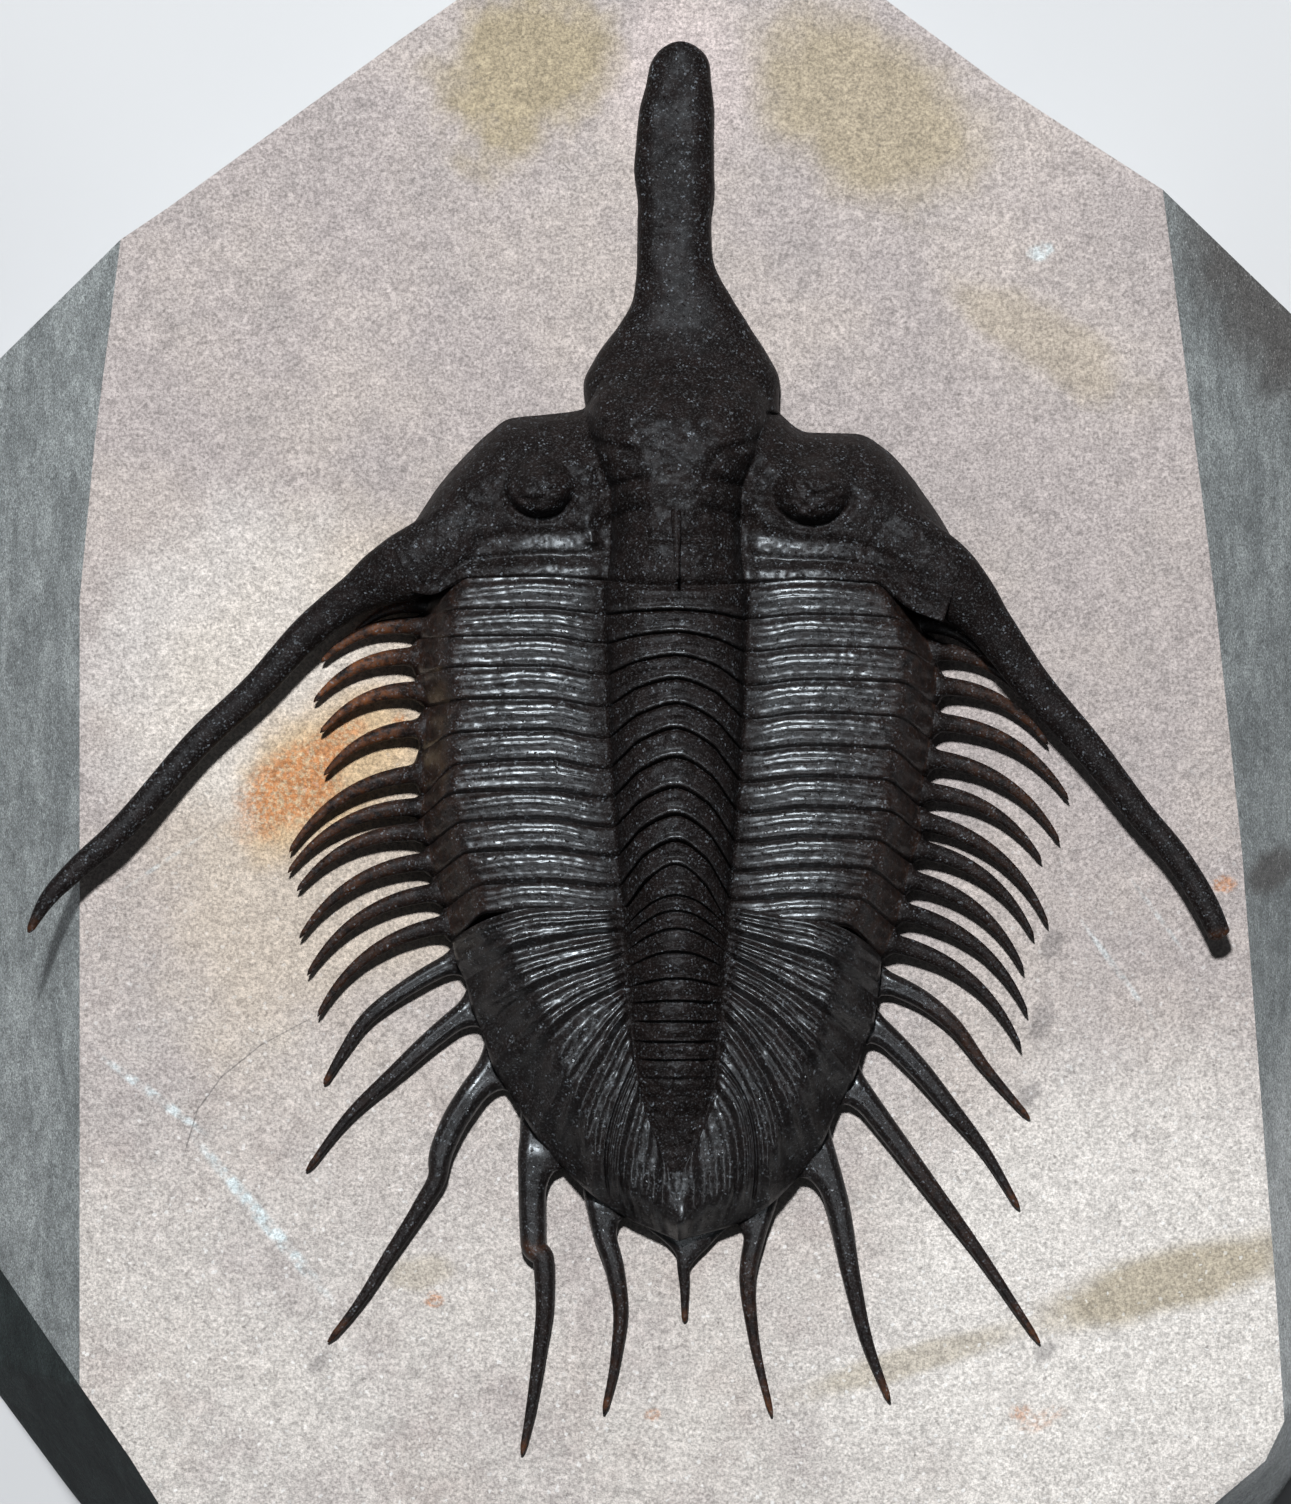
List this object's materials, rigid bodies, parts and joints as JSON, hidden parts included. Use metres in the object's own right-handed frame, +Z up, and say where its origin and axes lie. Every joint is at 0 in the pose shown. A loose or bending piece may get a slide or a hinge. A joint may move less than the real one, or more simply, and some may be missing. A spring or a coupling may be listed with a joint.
{
  "type": "fossil trilobite in matrix",
  "caption": "Long-snouted, spiny trilobite lying back up on the sawn limestone slab it was freed from; a display fossil that rests on its flat underside.",
  "frame": {"origin": "middle of the slab's underside, on the surface that it rests on", "axes": "+Y towards the head and snout, +X to the right seen from above, +Z up"},
  "size_m": [0.113, 0.128, 0.0371],
  "materials": {
    "limestone": "matt, fine-grained, air-brushed top; sawn dark grey-green edges",
    "fossil_shell": "dark calcite shell with a fine satin gloss, brown at thin edges"
  },
  "bodies": {
    "root": {"matrix": "limestone", "cephalon": "fossil_shell", "thorax_segment_01": "fossil_shell", "thorax_segment_02": "fossil_shell", "thorax_segment_03": "fossil_shell", "thorax_segment_04": "fossil_shell", "thorax_segment_05": "fossil_shell", "thorax_segment_06": "fossil_shell", "thorax_segment_07": "fossil_shell", "thorax_segment_08": "fossil_shell", "thorax_segment_09": "fossil_shell", "thorax_segment_10": "fossil_shell", "thorax_segment_11": "fossil_shell", "pygidium": "fossil_shell"}
  },
  "joints": []
}
